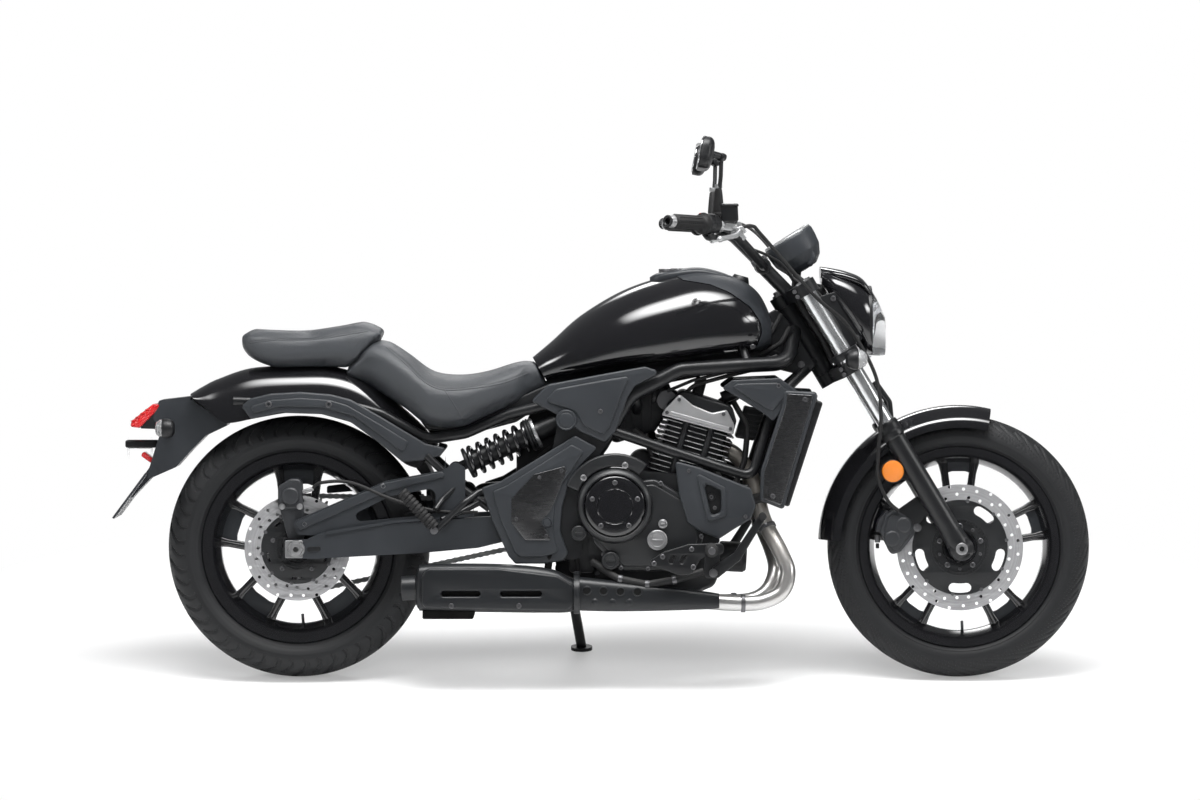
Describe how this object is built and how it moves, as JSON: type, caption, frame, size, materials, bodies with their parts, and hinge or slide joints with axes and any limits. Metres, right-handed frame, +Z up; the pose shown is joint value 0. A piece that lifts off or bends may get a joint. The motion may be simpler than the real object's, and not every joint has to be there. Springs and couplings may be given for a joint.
{
  "type": "cruiser motorcycle",
  "caption": "Low black cruiser motorcycle with a finned twin engine, stepped seat and side muffler, leaning on its side stand.",
  "frame": {"origin": "middle of the footprint on the ground, under the parked motorcycle", "axes": "+X forward, +Y to the rider's left, +Z up from the ground; the machine leans 10 degrees to the left"},
  "size_m": [2.3253, 0.8931, 1.3442],
  "materials": {
    "gloss_black": "deep gloss black paint",
    "satin_black": "satin black powder coat",
    "engine_black": "semi gloss black engine paint",
    "black_plastic": "satin black moulded plastic",
    "rubber": "matt black rubber",
    "tyre_rubber": "black tyre rubber",
    "chrome": "polished chrome",
    "steel": "brushed stainless steel",
    "black_exhaust": "satin black heat paint",
    "caliper_grey": "dark anodised aluminium",
    "spring": "black powder coat",
    "seat_leather": "black leather-look vinyl",
    "lamp_glass": "clear lens",
    "signal_lens": "clear and amber lenses",
    "red_lens": "red lens"
  },
  "bodies": {
    "chassis": {"main_frame": "satin_black", "seat_subframe": "satin_black", "engine_case": "engine_black", "cylinders": "engine_black", "engine_covers": "engine_black", "radiator": "black_plastic", "radiator_covers": "black_plastic", "exhaust_headers": "steel", "muffler": "black_exhaust", "fuel_tank": "gloss_black", "side_covers": "black_plastic", "rider_seat": "seat_leather", "passenger_seat": "seat_leather", "rear_mudguard": "gloss_black", "fender_struts": "gloss_black", "tail_cover": "black_plastic", "rear_lamps": "red_lens", "shock": "spring", "shock_spring": "spring", "swingarm": "satin_black", "rear_axle": "steel", "rear_caliper": "caliper_grey", "chain": "steel", "footrests": "satin_black"},
    "steering": {"fork_tubes": "chrome", "fork_legs": "satin_black", "triple_clamps": "satin_black", "handlebar": "satin_black", "grips": "rubber", "bar_controls": "black_plastic", "mirrors": "black_plastic", "instrument": "black_plastic", "headlamp": "gloss_black", "headlamp_lens": "lamp_glass", "front_signals": "signal_lens", "front_mudguard": "gloss_black", "front_caliper": "caliper_grey", "front_axle": "steel", "cables": "rubber"},
    "front_wheel": {"front_tyre": "tyre_rubber", "front_rim": "gloss_black", "front_disc": "steel"},
    "rear_wheel": {"rear_tyre": "tyre_rubber", "rear_rim": "gloss_black", "rear_disc": "steel", "rear_sprocket": "steel"},
    "side_stand": {"side_stand": "satin_black"},
    "fuel_lid": {"fuel_cap": "chrome"}
  },
  "joints": [
    {"name": "steering_turn", "type": "hinge", "parent": "chassis", "child": "steering", "pos_m": [0.78217, -0.13155, 0.30879], "axis": [-0.515, 0.1488, 0.8441], "range_deg": [-35, 35]},
    {"name": "front_wheel_spin", "type": "hinge", "parent": "steering", "child": "front_wheel", "pos_m": [0.851, -0.13155, 0.30879], "axis": [0, 0.9848, -0.1736], "continuous": true},
    {"name": "rear_wheel_spin", "type": "hinge", "parent": "chassis", "child": "rear_wheel", "pos_m": [-0.724, -0.1316, 0.3085], "axis": [0, 0.9848, -0.1736], "continuous": true},
    {"name": "side_stand_fold", "type": "hinge", "parent": "chassis", "child": "side_stand", "pos_m": [-0.084, 0.01017, 0.23145], "axis": [0, 0.9848, -0.1736], "range_deg": [0, 100]},
    {"name": "fuel_lid_open", "type": "hinge", "parent": "chassis", "child": "fuel_lid", "pos_m": [0.141, -0.01513, 0.96905], "axis": [0, 0.9848, -0.1736], "range_deg": [-100, 0]}
  ]
}
